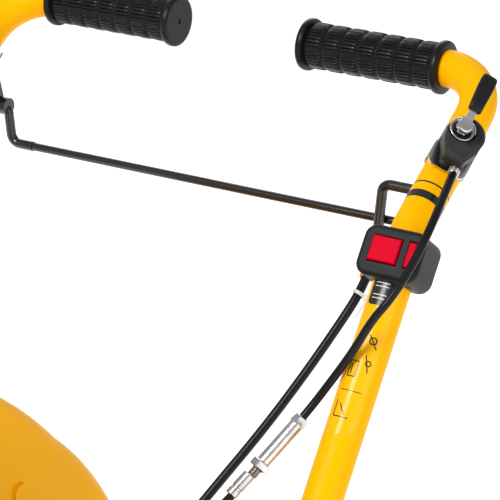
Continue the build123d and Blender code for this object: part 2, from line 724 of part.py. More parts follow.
CROWN_CENTRE = on_circle(CROWN_REAR[0], CROWN_REAR[1] - CROWN_R, CROWN_JOIN)
TONGUE_CENTRE = (BELLY[0][0], BELLY[0][1] - BELLY[1] + TONGUE_R)
DUCT_FRONT = CROWN_CENTRE[0] + CROWN_R
DUCT_REAR = on_circle(TONGUE_CENTRE, TONGUE_R, TONGUE_DEG)[0]


def scroll(inset=0.0):
    """The volute's side outline, which runs on a little below the exit. Its back meets the crown in a slight kink, the crown runs over
    the top and down the front to the exit, and the tongue and belly close it underneath."""
    back = (BACK[0], BACK[1] - inset)
    crown_rear = (CROWN_REAR[0], CROWN_REAR[1] - inset)
    kink = upper_meeting(back, crown_rear)
    kink_on_crown = angle_of(crown_rear[0], kink)
    kink_on_back = angle_of(back[0], kink)
    front = DUCT_FRONT - inset
    rear = DUCT_REAR + inset
    tongue_r = TONGUE_R - inset
    tongue_deg = -math.degrees(math.acos((rear - TONGUE_CENTRE[0]) / tongue_r))
    tongue = on_circle(TONGUE_CENTRE, tongue_r, tongue_deg)
    lines = [CenterArc(crown_rear[0], crown_rear[1], kink_on_crown, CROWN_JOIN - kink_on_crown),
             CenterArc(CROWN_CENTRE, CROWN_R - inset, CROWN_JOIN, -CROWN_JOIN),
             Line((front, CROWN_CENTRE[1]), (front, DUCT_END)),
             Line((front, DUCT_END), (rear, DUCT_END)),
             Line((rear, DUCT_END), tongue),
             CenterArc(TONGUE_CENTRE, tongue_r, tongue_deg, -90 - tongue_deg),
             CenterArc(BELLY[0], BELLY[1] - inset, -90, -90),
             CenterArc(back[0], back[1], 180, kink_on_back - 180)]
    return make_face(Wire(lines))


def shell(inset):
    """The scroll as a solid with its engine-side edge rounded, cut off at the exit."""
    solid = slab(scroll(inset), -VOLUTE_WIDTH + SHEET, -inset)
    return fillet(solid.edges().group_by(Axis.X)[-1], EDGE_R - inset) - below_exit()


def below_exit():
    return box_at((-VOLUTE_WIDTH - 60, 60), (640, 900), (EXIT_HEIGHT - 90, EXIT_HEIGHT))


def volute_body():
    """The engine-side half: the face, the scroll wall, the rim flange and the exit flange."""
    body = shell(0.0)
    rim = slab(scroll(-RIM), -VOLUTE_WIDTH + SHEET, -VOLUTE_WIDTH + 2 * SHEET)
    body += rim - below_exit()
    body -= shell(SHEET)
    body -= slab(scroll(SHEET), -VOLUTE_WIDTH, -VOLUTE_WIDTH + 3 * SHEET)
    body += box_at((-VOLUTE_WIDTH + SHEET, RIM), (DUCT_REAR - RIM, DUCT_FRONT + RIM),
                   (EXIT_HEIGHT, EXIT_HEIGHT + 3))
    body -= box_at((-VOLUTE_WIDTH, -SHEET), (DUCT_REAR + SHEET, DUCT_FRONT - SHEET),
                   (EXIT_HEIGHT - 5, EXIT_HEIGHT + 20))
    body -= rod_x(28, -10, 10, *CRANK)
    for degrees in SPACER_ANGLES:
        body -= rod_x(4.3, -10, 10, *on_circle(CRANK, SPACER_CIRCLE, degrees))
    return body + face_fittings()


def face_fittings():
    """An embossed seat, the idler's pivot stud and the cable stop on the engine-side face."""
    boss = rod_x(7.5, -1, 2.5, 300, 733)
    stud = rod_x(5.0, -1, BELT_X[1] + 8, *IDLER_PIVOT)
    return boss + stud + lower_cable_stop()


def volute_cover():
    """The flat outer cover with its rolled inlet ring."""
    cover = slab(scroll(-RIM), -VOLUTE_WIDTH, -VOLUTE_WIDTH + SHEET) - below_exit()
    cover -= rod_x(INLET_R, -VOLUTE_WIDTH - 5, -VOLUTE_WIDTH + 10, *CRANK)
    ring = ring_x(INLET_R + SHEET, INLET_R, -VOLUTE_WIDTH, -VOLUTE_WIDTH + 16, *CRANK)
    return cover + ring


def intake_guard():
    """A wire guard: three rings on eight spokes that stand off the cover."""
    front = -VOLUTE_WIDTH - 26
    wire = 2.2
    guard = ring_x(INLET_R + 18, INLET_R + 4, -VOLUTE_WIDTH - 3, -VOLUTE_WIDTH - 0.05, *CRANK)
    for radius in (30, 55, 80, 105):
        guard += ring_x(radius + wire, radius - wire, front, front + 2 * wire, *CRANK)
    for index in range(8):
        angle = 45.0 * index
        inner = on_circle(CRANK, 28, angle)
        outer = on_circle(CRANK, 107, angle)
        foot = on_circle(CRANK, INLET_R + 8, angle)
        guard += rod(wire, point(front + wire, *inner), point(front + wire, *outer))
        guard += rod(wire, point(front + wire, *outer), point(-VOLUTE_WIDTH - 1.5, *foot))
    return guard


IMPELLER_R = 215.0
BLADES = 8


def impeller():
    """A backplate with straight radial blades on a hub that the crankshaft fills."""
    wheel = rod_x(IMPELLER_R, -16, -12, *CRANK)
    wheel += rod_x(32, -112, -10, *CRANK)
    blade = Pos(135, 0) * Rectangle(156, 3)
    for index in range(BLADES):
        turned = Pos(*CRANK) * Rot(0, 0, index * 360 / BLADES) * blade
        wheel += slab(turned, -112, -14)
    return wheel - rod_x(10.05, -130, 10, *CRANK)


def elbow_outline(wall):
    """A quarter bend in side view, from the volute's exit to the forward-facing mouth."""
    centre = (DUCT_FRONT + 40, EXIT_HEIGHT - 10)
    outer = centre[0] - DUCT_REAR - wall
    inner = centre[0] - DUCT_FRONT + wall
    start_out, end_out = (centre[0] - outer, centre[1]), (centre[0], centre[1] - outer)
    start_in, end_in = (centre[0] - inner, centre[1]), (centre[0], centre[1] - inner)
    top_out, top_in = (start_out[0], EXIT_HEIGHT), (start_in[0], EXIT_HEIGHT)
    lines = [Line(top_out, start_out), CenterArc(centre, outer, 180, 90), Line(end_out, end_in),
             CenterArc(centre, inner, 270, -90), Line(start_in, top_in), Line(top_in, top_out)]
    return make_face(Wire(lines)), centre, outer, inner


def outlet_elbow():
    """The sheet elbow with a bolting flange, a hemmed mouth and two hinge ears."""
    outer_face, centre, outer, inner = elbow_outline(0.0)
    inner_face, _, _, _ = elbow_outline(SHEET)
    duct = slab(outer_face, -VOLUTE_WIDTH, 0)
    flange = box_at((-VOLUTE_WIDTH - RIM, RIM), (DUCT_REAR - RIM, DUCT_FRONT + RIM),
                    (EXIT_HEIGHT - 3, EXIT_HEIGHT))
    low, high = centre[1] - outer, centre[1] - inner
    hem = box_at((-VOLUTE_WIDTH - 4, 4), (centre[0] - 5, centre[0]), (low - 4, high + 4))
    solid = duct + flange + hem
    mouth = box_at((-VOLUTE_WIDTH + SHEET, -SHEET), (centre[0] - 12, centre[0] + 5),
                   (low + SHEET, high - SHEET))
    solid -= slab(inner_face, -VOLUTE_WIDTH + SHEET, -SHEET)
    solid -= mouth
    x, forward, z0, z1 = deflector_frame()
    for low_z in (z0 + 6, z1 - 18):
        ear = box_at((x - 2, x + 6), (centre[0] - 4, forward), (low_z, low_z + 12))
        ear += Pos(*point(x, forward, low_z)) * extrude(Circle(6), 12)
        solid += ear - Pos(*point(x, forward, low_z - 1)) * extrude(Circle(3 + RUNNING), 14)
    return solid


def deflector_frame():
    """Where the deflector hangs: its pin's x and forward position, and its height range."""
    _, centre, outer, inner = elbow_outline(0.0)
    return -VOLUTE_WIDTH - 8.0, centre[0] + 8.0, centre[1] - outer + 2, centre[1] - inner - 2


def deflector():
    """The aiming flap: a plate with a stiffened tip, hinge barrels and a pull tab."""
    x, forward, z0, z1 = deflector_frame()
    plate = box_at((x - 1.5, x + 1.5), (forward + 8, FRONT_TIP), (z0, z1))
    plate = fillet(plate.edges().filter_by(Axis.X).group_by(Axis.Y)[0], 22)
    pin = Pos(*point(x, forward, z0 + 3)) * extrude(Circle(3), z1 - z0 - 6)
    web = box_at((x - 1.5, x + 1.5), (forward, forward + 10), (z0 + 24, z1 - 24))
    barrel = Pos(*point(x, forward, z0 + 24)) * extrude(Circle(5.5), z1 - z0 - 48)
    tab = box_at((x - 16, x), (FRONT_TIP - 40, FRONT_TIP - 10), (z1 - 40, z1 - 36))
    return plate + pin + web + barrel + tab


# ---- the engine ----
SHAFT_R = 12.5


def crankcase():
    """The cast block: crankcase on two feet, finned cylinder and bosses on the output face."""
    forward, height = CRANK
    case = box_at((35, 150), (375, 535), (DECK_TOP + 10, 572))
    case = fillet(case.edges(), 10)
    feet = box_at((40, 155), (350, 400), (DECK_TOP, DECK_TOP + 14))
    feet += box_at((40, 155), (505, 558), (DECK_TOP, DECK_TOP + 14))
    block = case + feet
    block += box_at((62, 138), (525, 640), (448, 560))
    for index in range(9):
        start = 546 + 11.0 * index
        block += box_at((50, 146), (start, start + 3.5), (436, 572))
    for degrees in SPACER_ANGLES:
        centre = on_circle(CRANK, SPACER_CIRCLE, degrees)
        block += rod_x(9, 0, 45, *centre)
        block -= rod_x(3.4, -1, 20, *centre)
    block += rod_x(30, 30, 45, forward, height)
    for x, f in ENGINE_BOLTS:
        block -= Pos(*point(x, f, DECK_TOP - 1)) * extrude(Circle(4.3), 17)
    block -= rod_x(SHAFT_R + RUNNING, 20, 146, forward, height)
    return block


def rocker_cover():
    cover = soft_box((56, 144), (640.1, 668), (442, 566), 9)
    return cover


def crankshaft():
    """The output shaft: the journal in the case, and the long nose for pulley and impeller."""
    shaft = rod_x(SHAFT_R, 30, 145, *CRANK)
    shaft += rod_x(10.0, -116, 31, *CRANK)
    return shaft + slab(Pos(*CRANK) * RegularPolygon(15, 6), -124, -114)


def engine_pulley():
    return pulley(ENGINE_PULLEY_R, *BELT_X, CRANK, 10.05)


def fan_shroud():
    """The pressed cooling shroud over the flywheel, reaching forward over the cylinder."""
    outline = Pos(*CRANK) * Circle(103) + Pos(590, 505) * RectangleRounded(110, 150, 24)
    body = slab(make_hull(outline.edges()), 156, 232)
    return fillet(body.edges().group_by(Axis.X)[-1], 16)


def recoil_cover():
    """The starter's dished cover with a ring of slots and the rope's eyelet."""
    cover = rod_x(82, 232.1, 256, *CRANK)
    cover = fillet(cover.edges().group_by(Axis.X)[-1], 9)
    for index in range(10):
        slot = Pos(*CRANK) * Rot(0, 0, 36 * index) * Pos(54, 0) * SlotOverall(30, 7)
        cover -= slab(slot, 246, 260)
    eyelet = on_circle(CRANK, 74, 118)
    return cover + rod(9, point(244, *eyelet), point(244, eyelet[0] - 10, eyelet[1] + 19))


def recoil_handle():
    """The pull grip that rests on the rope's eyelet."""
    eyelet = on_circle(CRANK, 74, 118)
    start = point(244, eyelet[0] - 10.2, eyelet[1] + 19.4)
    along = Vector(0, 10, 19).normalized()
    neck = rod(7, start, start + along * 14)
    bar = soft_box((218, 270), (-9, 9), (-9, 9), 7)
    centre = start + along * 20
    moved = Pos(0, centre.Y - GRIP_Y, centre.Z) * bar
    return neck + moved


def fuel_tank():
    tank = soft_box((60, 226), (330, 500), (606, 690), 22)
    tank += box_at((80, 206), (390, 470), (600, 612))
    neck = Pos(*point(98, 396, 688)) * extrude(Circle(23), 6)
    return tank + neck


def fuel_cap():
    cap = Pos(*point(98, 396, 694.1)) * extrude(Circle(29), 17)
    cap = fillet(cap.edges().group_by(Axis.Z)[-1], 4)
    for index in range(12):
        angle = math.radians(30 * index)
        notch = point(98 + 31 * math.cos(angle), 396 + 31 * math.sin(angle), 693)
        cap -= Pos(*notch) * extrude(Circle(4), 12)
    return cap


def air_filter():
    body = soft_box((150, 234), (534, 640), (598, 694), 14)
    return body + rod(3.5, point(192, 587, 690), point(192, 587, 704))


def carburettor():
    body = soft_box((104, 144), (536, 588), (584, 640), 5)
    body += rod_x(17, 140, 149.9, 562, 618)
    return body + Pos(*point(124, 562, 574)) * extrude(Circle(14), 14)


def muffler():
    can = soft_box((30, 92), (524, 648), (592, 676), 16)
    return can + rod(11, point(66, 600, 596), point(66, 600, 574))


def muffler_guard():
    """A perforated heat guard that stands off the muffler's top and front."""
    top = box_at((34, 88), (536, 656), (680, 682))
    front = box_at((34, 88), (654, 656), (612, 681))
    guard = top + front
    for index in range(7):
        forward = 550 + 14.5 * index
        slot = Pos(*point(61, forward, 678)) * extrude(SlotOverall(40, 6), 8)
        guard -= slot
    for x in (50, 72):
        guard += rod(3, point(x, 546, 676.1), point(x, 546, 681))
    return guard


def plug_boot():
    """The spark plug's rubber boot on the head, with its lead into the shroud."""
    boot = rod(9, point(100, 668.1, 470), point(100, 694, 470))
    lead = [point(100, 686, 470), point(100, 686, 410), point(165, 648, 410)]
    return boot + pipe(lead, [12.0], 3.5)


def oil_cap():
    cap = rod(11, point(70, 375.0, 428), point(70, 360, 428))
    return cap + box_at((66, 74), (347, 361), (417, 439))


# ---- bolts ----
def frame_bolts():
    """The hexagon bolts of the handle, the engine feet, the spacer bosses and the flanges."""
    bolts = []
    for sign in (1, -1):
        for height in BOLT_HEIGHTS:
            shank = rod_x(BOLT_R, BRACKET_INNER - 12, TUBE_X + TUBE_R + 1, DROP_FORWARD, height)
            head = slab(Pos(DROP_FORWARD, height) * RegularPolygon(7.4, 6), TUBE_X + TUBE_R + 0.1,
                        TUBE_X + TUBE_R + 5.5)
            nut = slab(Pos(DROP_FORWARD, height) * RegularPolygon(7.4, 6), BRACKET_INNER - 7.6,
                       BRACKET_INNER - 1.1)
            bolt = shank + head + nut
            bolts.append(bolt if sign > 0 else mirrored(bolt))
    for x, forward in ENGINE_BOLTS:
        head = Pos(*point(x, forward, DECK_TOP + 14.1)) * extrude(RegularPolygon(7.4, 6), 5.5)
        shank = Pos(*point(x, forward, DECK_TOP - 14)) * extrude(Circle(BOLT_R), 29)
        nut = Pos(*point(x, forward, DECK_TOP - DECK_T - 6.6)) * extrude(RegularPolygon(7.4, 6), 6.5)
        bolts.append(head + shank + nut)
    return Compound(children=bolts)


PARTS = {
    "handle_tube_left": lambda: handle_tube([bail_lug(), upper_cable_stop()]),
    "handle_tube_right": lambda: mirrored(handle_tube([bail_lug()])),
    "grip_left": grip,
    "grip_right": lambda: mirrored(grip()),
    "throttle_housing": throttle_housing,
    "throttle_strap": throttle_strap,
    "throttle_fasteners": throttle_fasteners,
    "throttle_lever": throttle_lever,
    "throttle_cable": throttle_cable,
    "cable_adjuster": cable_adjuster,
    "switch_housing": switch_housing,
    "stop_rocker": stop_rocker,
    "bail": bail,
    "bail_spring": bail_spring,
    "drive_cable": drive_cable,
    "cable_tie": cable_tie,
    "frame_rail_left": rail,
    "frame_rail_right": lambda: mirrored(rail()),
    "frame_crossbars": crossbars,
    "caster_plate": caster_plate,
    "engine_deck": engine_deck,
    "deck_leg_rear": lambda: deck_leg(CROSSBARS[1]),
    "deck_leg_front": lambda: deck_leg(CROSSBARS[2]),
    "axle_bearings": axle_bearings,
    "rear_axle": rear_axle,
    "rear_tyre_left": rear_tyre,
    "rear_tyre_right": lambda: mirrored(rear_tyre()),
    "rear_rim_left": rear_rim,
    "rear_rim_right": lambda: mirrored(rear_rim()),
    "caster_fork": caster_fork,
    "caster_tyre": caster_tyre,
    "caster_rim": caster_rim,
    "gearbox": gearbox,
    "gearbox_pulley": gearbox_pulley,
    "drive_belt": drive_belt,
    "idler_arm": idler_arm,
    "idler_pulley": idler_pulley,
    "volute_body": volute_body,
    "volute_cover": volute_cover,
    "intake_guard": intake_guard,
    "impeller": impeller,
    "outlet_elbow": outlet_elbow,
    "deflector": deflector,
    "crankcase": crankcase,
    "rocker_cover": rocker_cover,
    "crankshaft": crankshaft,
    "engine_pulley": engine_pulley,
    "fan_shroud": fan_shroud,
    "recoil_cover": recoil_cover,
    "recoil_handle": recoil_handle,
    "fuel_tank": fuel_tank,
    "fuel_cap": fuel_cap,
    "air_filter": air_filter,
    "carburettor": carburettor,
    "muffler": muffler,
    "muffler_guard": muffler_guard,
    "plug_boot": plug_boot,
    "oil_cap": oil_cap,
    "frame_bolts": frame_bolts,
}

os.makedirs("parts", exist_ok=True)
for name, build in PARTS.items():
    export_step(build(), f"parts/{name}.step")
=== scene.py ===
import json
import math

import bmesh
import bpy
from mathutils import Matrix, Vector


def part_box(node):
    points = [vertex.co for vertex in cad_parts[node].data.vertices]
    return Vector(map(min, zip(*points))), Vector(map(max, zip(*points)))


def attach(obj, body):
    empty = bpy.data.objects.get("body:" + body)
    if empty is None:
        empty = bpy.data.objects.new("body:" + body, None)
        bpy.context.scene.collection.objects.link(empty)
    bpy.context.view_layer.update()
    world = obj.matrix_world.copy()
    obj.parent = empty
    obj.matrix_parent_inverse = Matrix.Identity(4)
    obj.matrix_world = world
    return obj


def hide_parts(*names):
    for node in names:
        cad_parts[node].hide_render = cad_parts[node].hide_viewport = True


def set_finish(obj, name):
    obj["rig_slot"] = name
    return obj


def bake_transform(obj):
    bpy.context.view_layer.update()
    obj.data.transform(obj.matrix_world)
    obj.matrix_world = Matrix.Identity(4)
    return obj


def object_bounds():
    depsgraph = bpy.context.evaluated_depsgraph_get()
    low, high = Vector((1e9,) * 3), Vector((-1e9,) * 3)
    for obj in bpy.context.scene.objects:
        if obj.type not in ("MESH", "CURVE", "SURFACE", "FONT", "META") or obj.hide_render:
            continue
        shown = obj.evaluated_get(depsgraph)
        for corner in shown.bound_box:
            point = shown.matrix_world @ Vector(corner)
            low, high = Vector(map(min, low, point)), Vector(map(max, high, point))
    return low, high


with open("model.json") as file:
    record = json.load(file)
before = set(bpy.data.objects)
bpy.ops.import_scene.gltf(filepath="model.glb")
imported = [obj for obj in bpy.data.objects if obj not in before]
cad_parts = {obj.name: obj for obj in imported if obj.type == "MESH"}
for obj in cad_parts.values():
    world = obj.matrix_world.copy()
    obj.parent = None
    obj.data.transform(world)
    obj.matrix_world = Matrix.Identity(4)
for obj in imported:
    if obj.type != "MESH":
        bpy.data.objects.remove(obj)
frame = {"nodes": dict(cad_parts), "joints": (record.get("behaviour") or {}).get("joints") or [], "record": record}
cad_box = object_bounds()
NODES = frame["nodes"]
JOINTS = {joint["name"]: joint for joint in frame["joints"]}


# ---- sizes shared with the CAD, in metres ----
GRIP_LOW, GRIP_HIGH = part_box("grip_left")
GRIP_Y = (GRIP_LOW.y + GRIP_HIGH.y) / 2
GRIP_Z = (GRIP_LOW.z + GRIP_HIGH.z) / 2
TUBE_X = 0.218
TUBE_R = 0.014
UPPER_SLOPE = math.radians(31.4)
LOWER_SLOPE = math.radians(53.4)
KNEE_FORWARD = 0.1283
KNEE_BEND = 0.045
CABLE_R = 0.003
DRIVE_CABLE_R = 0.0035
FLOOR_Z = cad_box[0].z - 0.001


def at(x, forward, height):
    """A place in millimetres: x to the machine's left, forward of the grips, above the ground."""
    return Vector((x / 1000, GRIP_Y - forward / 1000, height / 1000))


# ---- camera, light and floor ----
CAMERA_FROM_GRIPS = (0.8960, -1.4291, 0.4886)
CAMERA_TILT = math.radians(68.33)
CAMERA_TURN = math.radians(31.88)
CAMERA_LENS_MM = 162.2
CAMERA_SENSOR_MM = 36.0
LIGHT_TARGET = (0, 0, 0.6)
WORLD_STRENGTH = 0.48
FLOOR_HALF = 14.0
FLOOR_GLOW = 0.62
WHITE = (1, 1, 1, 1)


def make_camera():
    data = bpy.data.cameras.new("camera")
    data.lens = CAMERA_LENS_MM
    data.sensor_width = CAMERA_SENSOR_MM
    data.clip_start = 0.05
    camera = bpy.data.objects.new("camera", data)
    camera.location = Vector((0, GRIP_Y, GRIP_Z)) + Vector(CAMERA_FROM_GRIPS)
    camera.rotation_euler = (CAMERA_TILT, 0, CAMERA_TURN)
    bpy.context.scene.collection.objects.link(camera)
    bpy.context.scene.camera = camera


def area_light(name, place, size, power):
    data = bpy.data.lights.new(name, "AREA")
    data.size = size
    data.energy = power
    light = bpy.data.objects.new(name, data)
    light.location = place
    aim = Vector(LIGHT_TARGET) - Vector(place)
    light.rotation_euler = aim.to_track_quat("-Z", "Y").to_euler()
    bpy.context.scene.collection.objects.link(light)


def make_world():
    world = bpy.data.worlds.new("studio")
    bpy.context.scene.world = world
    world.use_nodes = True
    background = world.node_tree.nodes["Background"]
    background.inputs["Color"].default_value = WHITE
    background.inputs["Strength"].default_value = WORLD_STRENGTH
    bpy.context.scene.view_settings.view_transform = "Standard"


def make_floor():
    mesh = bpy.data.meshes.new("floor")
    corners = [(x * FLOOR_HALF, y * FLOOR_HALF, 0) for x, y in ((-1, -1), (1, -1), (1, 1), (-1, 1))]
    mesh.from_pydata(corners, [], [(0, 1, 2, 3)])
    floor = bpy.data.objects.new("floor", mesh)
    floor.location.z = FLOOR_Z
    bpy.context.scene.collection.objects.link(floor)
    material, shader = new_material("floor_white")
    shader.inputs["Base Color"].default_value = (0.93, 0.93, 0.93, 1)
    shader.inputs["Roughness"].default_value = 0.9
    shader.inputs["Emission Color"].default_value = WHITE
    shader.inputs["Emission Strength"].default_value = FLOOR_GLOW
    mesh.materials.append(material)


def make_studio():
    make_world()
    area_light("key", (-0.5, -2.0, 3.0), 1.3, 76)
    area_light("fill", (2.6, -0.6, 1.4), 2.2, 18)
    area_light("back", (-1.4, 2.4, 2.2), 1.8, 20)
    make_floor()


# ---- procedural materials ----
def new_material(name):
    material = bpy.data.materials.new(name)
    material.use_nodes = True
    return material, material.node_tree.nodes["Principled BSDF"]


def add(tree, kind, links=(), **settings):
    """One node: settings are its properties or inputs, links are (input name, socket) pairs."""
    node = tree.nodes.new(kind)
    for key, value in settings.items():
        name = key.replace("_", " ").title()
        if hasattr(node, key):
            setattr(node, key, value)
        else:
            node.inputs[name].default_value = value
    for name, socket in links:
        tree.links.new(socket, node.inputs[name])
    return node


def noise(tree, place, scale, detail=4.0, roughness=0.55):
    return add(tree, "ShaderNodeTexNoise", [("Vector", place)], scale=scale, detail=detail,
               roughness=roughness)


def ramp(tree, factor, low, high, start=0.3, end=0.7):
    node = add(tree, "ShaderNodeValToRGB", [("Fac", factor)])
    node.color_ramp.elements[0].position = start
    node.color_ramp.elements[1].position = end
    node.color_ramp.elements[0].color = (*low, 1)
    node.color_ramp.elements[1].color = (*high, 1)
    return node


def spread(tree, factor, low, high):
    return add(tree, "ShaderNodeMapRange", [("Value", factor)], to_min=low, to_max=high)


def shade(colour, gain):
    return tuple(min(1.0, channel * gain) for channel in colour)


DUST_MOST = 0.55
DUST_PATCHES = 34.0
WEAR_PATCHES = 60.0
WEAR_START, WEAR_END = 0.53, 0.62


def surface(name, colour, rough, metal=0.0, vary=0.12, blotch=9.0, grain=900.0, bump=0.0002,
            coat=0.0, dust=None, worn=None, streak=None, gloss=0.5):
    """A general painted, moulded or metal finish. Broad blotches vary the colour and roughness,
    grain is the fine bump, dust gathers near the ground and worn shows along sharp edges."""
    material, shader = new_material(name)
    tree = material.node_tree
    place = add(tree, "ShaderNodeTexCoord").outputs["Object"]
    broad = noise(tree, place, blotch).outputs["Fac"]
    paint = ramp(tree, broad, shade(colour, 1 - vary), shade(colour, 1 + vary)).outputs["Color"]
    if dust:
        height = add(tree, "ShaderNodeSeparateXYZ", [("Vector", place)]).outputs["Z"]
        low = add(tree, "ShaderNodeMapRange", [("Value", height)], from_min=0.0, from_max=dust[1],
                  to_min=DUST_MOST, to_max=0.0).outputs["Result"]
        patches = noise(tree, place, DUST_PATCHES).outputs["Fac"]
        patchy = add(tree, "ShaderNodeMath", [(0, low), (1, patches)], operation="MULTIPLY")
        mix = add(tree, "ShaderNodeMix", [("Factor", patchy.outputs["Value"])], data_type="RGBA")
        tree.links.new(paint, mix.inputs[6])
        mix.inputs[7].default_value = (*dust[0], 1)
        paint = mix.outputs[2]
    if worn:
        edge = add(tree, "ShaderNodeNewGeometry").outputs["Pointiness"]
        rubbed = ramp(tree, edge, (0, 0, 0), (1, 1, 1), WEAR_START, WEAR_END).outputs["Color"]
        patches = noise(tree, place, WEAR_PATCHES).outputs["Fac"]
        patchy = add(tree, "ShaderNodeMath", [(0, rubbed), (1, patches)], operation="MULTIPLY")
        mix = add(tree, "ShaderNodeMix", [("Factor", patchy.outputs["Value"])], data_type="RGBA")
        tree.links.new(paint, mix.inputs[6])
        mix.inputs[7].default_value = (*worn, 1)
        paint = mix.outputs[2]
    tree.links.new(paint, shader.inputs["Base Color"])
    fine_place = place
    if streak:
        fine_place = add(tree, "ShaderNodeMapping", [("Vector", place)], scale=streak).outputs["Vector"]
    fine = noise(tree, fine_place, grain, 3.0, 0.6).outputs["Fac"]
    marks = add(tree, "ShaderNodeMath", [(0, broad), (1, fine)], operation="MULTIPLY").outputs["Value"]
    tree.links.new(spread(tree, marks, max(0.03, rough - 0.12), rough + 0.2).outputs["Result"],
                   shader.inputs["Roughness"])
    relief = add(tree, "ShaderNodeBump", [("Height", fine)], strength=0.6, distance=bump)
    tree.links.new(relief.outputs["Normal"], shader.inputs["Normal"])
    shader.inputs["Metallic"].default_value = metal
    shader.inputs["Coat Weight"].default_value = coat
    shader.inputs["Specular IOR Level"].default_value = gloss
    shader.inputs["Coat Roughness"].default_value = 0.08
    return material


DUST = (0.32, 0.26, 0.19)


def make_materials():
    yellow = (0.97, 0.46, 0.0)
    return {
        "yellow_paint": surface("yellow_paint", yellow, 0.36, vary=0.03, blotch=5, grain=420,
                                bump=0.00006, dust=(DUST, 0.24), gloss=0.05),
        "black_paint": surface("black_paint", (0.006, 0.006, 0.007), 0.22, vary=0.2, grain=500,
                               bump=0.00005, coat=0.3, dust=(DUST, 0.25), worn=(0.10, 0.10, 0.10)),
        "grip_rubber": surface("grip_rubber", (0.008, 0.008, 0.009), 0.36, vary=0.2, grain=2600,
                               bump=0.00001, gloss=0.18),
        "black_plastic": surface("black_plastic", (0.010, 0.010, 0.011), 0.46, vary=0.15, grain=3200,
                                 bump=0.00015, worn=(0.05, 0.05, 0.05), gloss=0.18),
        "red_plastic": surface("red_plastic", (0.64, 0.0, 0.020), 0.42, vary=0.06, grain=2400,
                               bump=0.00005, gloss=0.03),
        "cable_jacket": surface("cable_jacket", (0.006, 0.006, 0.007), 0.34, vary=0.2, grain=1500,
                                bump=0.00008, streak=(1, 0.15, 0.15), gloss=0.2),
        "grey_plastic": surface("grey_plastic", (0.60, 0.60, 0.59), 0.42, vary=0.06, grain=1800,
                                bump=0.00005),
        "zinc_plate": surface("zinc_plate", (0.58, 0.58, 0.575), 0.27, metal=1.0, vary=0.22, blotch=60,
                              grain=1600, bump=0.00006),
        "cast_aluminium": surface("cast_aluminium", (0.56, 0.56, 0.55), 0.46, metal=0.85, vary=0.12,
                                  blotch=26, grain=1300, bump=0.0004),
        "bare_steel": surface("bare_steel", (0.20, 0.17, 0.15), 0.50, metal=0.8, vary=0.5, blotch=22,
                              grain=900, bump=0.0003),
        "tyre_rubber": surface("tyre_rubber", (0.022, 0.022, 0.022), 0.72, vary=0.2, grain=1400,
                               bump=0.00025, dust=(DUST, 0.20)),
        "rim_paint": surface("rim_paint", (0.03, 0.03, 0.032), 0.36, vary=0.15, grain=600,
                             bump=0.00008, dust=(DUST, 0.35), worn=(0.2, 0.2, 0.2)),
        "belt_rubber": surface("belt_rubber", (0.03, 0.03, 0.03), 0.70, vary=0.25, grain=2200,
                               bump=0.0002),
        "decal_black": surface("decal_black", (0.012, 0.012, 0.012), 0.30, vary=0.1, grain=1200,
                               bump=0.00002),
        "decal_white": surface("decal_white", (0.72, 0.72, 0.70), 0.36, vary=0.05, grain=1200,
                               bump=0.00002),
        "decal_clear": surface("decal_clear", shade(yellow, 1.03), 0.20, vary=0.02, grain=420,
                               bump=0.00002, coat=0.0, gloss=0.2),
    }


# ---- building pieces ----
def place_piece(name, data, slot, body, *replaced, material=None):
    """Links a mesh or curve as a piece of its own: material, slot, body and the nodes it replaces."""
    data.materials.append(MATERIALS[material or slot])
    piece = bpy.data.objects.new(name, data)
    bpy.context.scene.collection.objects.link(piece)
    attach(piece, body)
    if slot in RECORD_SLOTS:
        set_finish(piece, slot)
    if replaced:
        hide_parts(*replaced)
    return piece


def mesh_from(name, verts, faces, angle=40):
    """A mesh with outward faces, smooth except over edges sharper than the angle in degrees."""
    mesh = bpy.data.meshes.new(name)
    mesh.from_pydata([tuple(v) for v in verts], [], faces)
    mesh.validate()
    shape = bmesh.new()
    shape.from_mesh(mesh)
    bmesh.ops.recalc_face_normals(shape, faces=shape.faces)
    for face in shape.faces:
        face.smooth = True
    for edge in shape.edges:
        edge.smooth = len(edge.link_faces) == 2 and edge.calc_face_angle(0) < math.radians(angle)
    shape.to_mesh(mesh)
    shape.free()
    return mesh


def basis(direction):
    """A direction as a unit vector, and two directions across it."""
    along = Vector(direction).normalized()
    hint = Vector((0, 0, 1))
    if abs(along.dot(hint)) > 0.95:
        hint = Vector((1, 0, 0))
    across = along.cross(hint).normalized()
    return along, across, across.cross(along)


def turned(name, origin, direction, profile, around=48, radius_at=None, ring=False):
    """A shape turned about an axis from (distance along, radius) points. radius_at may change the
    radius at a profile index and angle. The ends are capped, or joined to each other in a ring."""
    along, across, other = basis(direction)
    verts = []
    faces = []
    for index, (reach, radius) in enumerate(profile):
        for step in range(around):
            angle = 2 * math.pi * step / around
            r = radius_at(index, angle, radius) if radius_at else radius
            outward = across * math.cos(angle) + other * math.sin(angle)
            verts.append(Vector(origin) + along * reach + outward * r)
    for index in range(len(profile) - 1):
        for step in range(around):
            after = (step + 1) % around
            faces.append((index * around + step, index * around + after,
                          (index + 1) * around + after, (index + 1) * around + step))
    last = (len(profile) - 1) * around
    if ring:
        for step in range(around):
            after = (step + 1) % around
            faces.append((last + step, last + after, after, step))
    else:
        faces.append(tuple(range(around)))
        faces.append(tuple(last + step for step in range(around)))
    return mesh_from(name, verts, faces)


def hexagon(index, angle, radius):
    """The radius of a hexagon's side at this angle, with its corners turned off by the chamfer."""
    turn = (angle % (math.pi / 3)) - math.pi / 6
    return min(radius * math.cos(math.pi / 6) / math.cos(turn), radius * 0.985)


